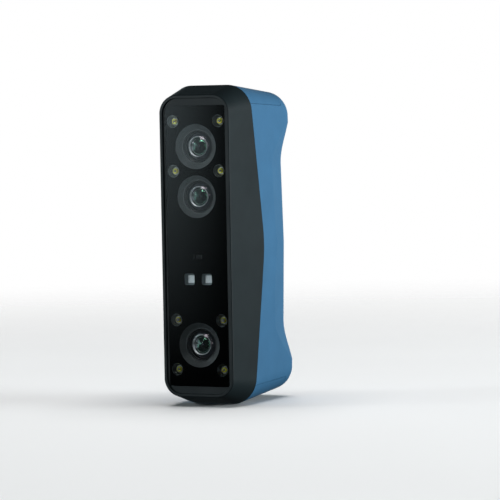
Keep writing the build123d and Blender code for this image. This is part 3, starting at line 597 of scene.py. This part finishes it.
# ---- stage ----
def area_light(name, place, size, power, color=(1, 1, 1)):
    """A rectangular light that points at the middle of the object."""
    data = bpy.data.lights.new(name, "AREA")
    data.shape = "RECTANGLE"
    data.size, data.size_y = size
    data.energy = power
    data.color = color
    light = bpy.data.objects.new(name, data)
    light.location = place
    light.rotation_euler = (-Vector(place)).to_track_quat("-Z", "Y").to_euler()
    bpy.context.scene.collection.objects.link(light)
    return light


def light_for(name, receivers, place, size, power, color=(1, 1, 1)):
    """An area light that falls on some of the objects only."""
    group = bpy.data.collections.new(name)
    for receiver in receivers:
        group.objects.link(receiver)
    light = area_light(name, place, size, power, color)
    light.light_linking.receiver_collection = group
    return light


COOL, COOL_PANEL = (0.92, 1.0, 1.03), (0.80, 1.0, 1.07)


def make_world():
    """A dark studio: a white sweep behind, soft panels at the front left, and a white backdrop."""
    world = bpy.data.worlds.new("studio")
    bpy.context.scene.world = world
    world.use_nodes = True
    sky = Tree(world.node_tree)
    x, y, z = sky.axes("Generated")

    def box(strength, *sides):
        """A soft-edged panel, held in by the steps given as (value, outside, inside)."""
        value = strength
        for side in sides:
            value = sky.math("MULTIPLY", value, sky.step(*side))
        return value

    glass_x, glass_z = (x, -0.431, -0.462), (z, -0.097, 0.017)
    glass_ends = ((z, 0.35, 0.15), (x, -0.75, -0.6), (y, -0.3, -0.7))
    parts = [
        sky.step(y, -0.9, 0.6, 0.010, 0.045),  # the room
        box(0.75, (y, 0.3, 0.9), (z, -0.3, 0.05), (z, 0.45, 0.1), (x, 0.6, -0.1)),  # the sweep
        box(1.0, glass_x, glass_z, *glass_ends),  # fades down the cover glass
        box(0.9, (x, -0.70, -0.78), (z, -0.42, -0.30), (z, 0.08, -0.02), (y, 0.25, 0.0)),  # low left
        box(0.7, (x, -0.62, -0.72), (z, 0.14, 0.24), (z, 0.55, 0.4), (y, 0.25, 0.0)),  # high left
    ]
    light = parts[0]
    for part in parts[1:]:
        light = sky.math("ADD", light, part)
    seen = sky.node("ShaderNodeLightPath").outputs["Is Camera Ray"]
    shown = sky.math("MAXIMUM", light, seen)
    background = sky.node("ShaderNodeBackground")
    tint = sky.node("ShaderNodeMix", data_type="RGBA")
    sky.tree.links.new(seen, tint.inputs["Factor"])
    tint.inputs["A"].default_value = (*COOL_PANEL, 1)
    tint.inputs["B"].default_value = (1, 1, 1, 1)
    sky.tree.links.new(tint.outputs["Result"], background.inputs["Color"])
    sky.tree.links.new(shown, background.inputs["Strength"])
    output = sky.node("ShaderNodeOutputWorld")
    sky.link(background, "Background", output, "Surface")


FLOOR_R, FLOOR_FADE = 2.5, (0.25, 1.1)  # its radius, and where it fades out
FLOOR_GAP = 0.0002  # below the object, so that the two never share a face


def make_floor():
    """A pale floor that fades into the white of the room."""
    bm = bmesh.new()
    bmesh.ops.create_circle(bm, cap_ends=True, segments=96, radius=FLOOR_R)
    bmesh.ops.translate(bm, verts=bm.verts, vec=(0, 0, cad_box[0].z - FLOOR_GAP))
    mesh = bpy.data.meshes.new("floor")
    bm.to_mesh(mesh)
    bm.free()
    floor = bpy.data.objects.new("floor", mesh)
    bpy.context.scene.collection.objects.link(floor)
    shader = Shader("floor paint", Roughness=0.9, Specular_IOR_Level=0.0)
    shader.color(shader.noise(3, 2), (0.90, 0.89, 0.885), (0.92, 0.91, 0.905))
    x, y, _ = shader.axes("Object")
    squares = [shader.math("MULTIPLY", side, side) for side in (x, y)]
    reach = shader.math("POWER", shader.math("ADD", *squares), 0.5)
    fade = shader.step(reach, *FLOOR_FADE)
    clear = shader.node("ShaderNodeBsdfTransparent")
    mix = shader.node("ShaderNodeMixShader")
    shader.tree.links.new(fade, mix.inputs["Fac"])
    shader.link(shader.main, "BSDF", mix, 1)
    shader.link(clear, "BSDF", mix, 2)
    shader.link(mix, "Shader", shader.output, "Surface")
    mesh.materials.append(shader.material)
    floor.visible_glossy = False
    floor.visible_diffuse = False
    floor.visible_transmission = False
    light_for("floor light", [floor], (0, 0.2, 2.0), (1.6, 1.6), 36)


def make_stage():
    bpy.context.scene.view_settings.view_transform = "Standard"
    make_world()
    make_floor()
    area_light("key", (1.5, 0.28, 0.16), (0.9, 0.9), 25, COOL)
    area_light("kicker", (-1.28, -0.77, 0.565), (0.09, 0.09), 3.0, COOL)


def light_front_parts():
    """A fill for the housing that stays out of the glass, a soft box and a strip for the optics,
    and a light for what lies in the windows."""
    meshes = [o for o in bpy.context.scene.objects if o.type == "MESH"]

    def named(*starts):
        return [o for o in meshes if o.name.startswith(starts)]

    housing = [NODES[name] for name in ("front_housing", "rear_shell", "top_cap", "bottom_cap")]
    optics = named("lens_glass", "cover_glass", "coated_element", "bright_ring", "shroud")
    optics += named("rear_element", "dome_ring")
    sunk = named("lamp_", "lens_hood", "projector_", "proximity", "shroud", "bright_ring")
    light_for("fill", housing, (-0.9, -1.3, -0.15), (0.8, 0.8), 10, COOL)
    light_for("coating light", optics, (0.27, -0.61, 1.11), (0.9, 0.4), 5.0)
    light_for("strip light", optics, (1.18, -0.78, 0.45), (0.14, 1.1), 1.1)
    light_for("window light", sunk, (-0.75, -1.2, -0.3), (0.5, 0.5), 10, COOL)


make_camera()
make_stage()
finishes = make_finishes()
extra_finishes(finishes)
paint_nodes(finishes)
make_pieces(finishes)
light_front_parts()
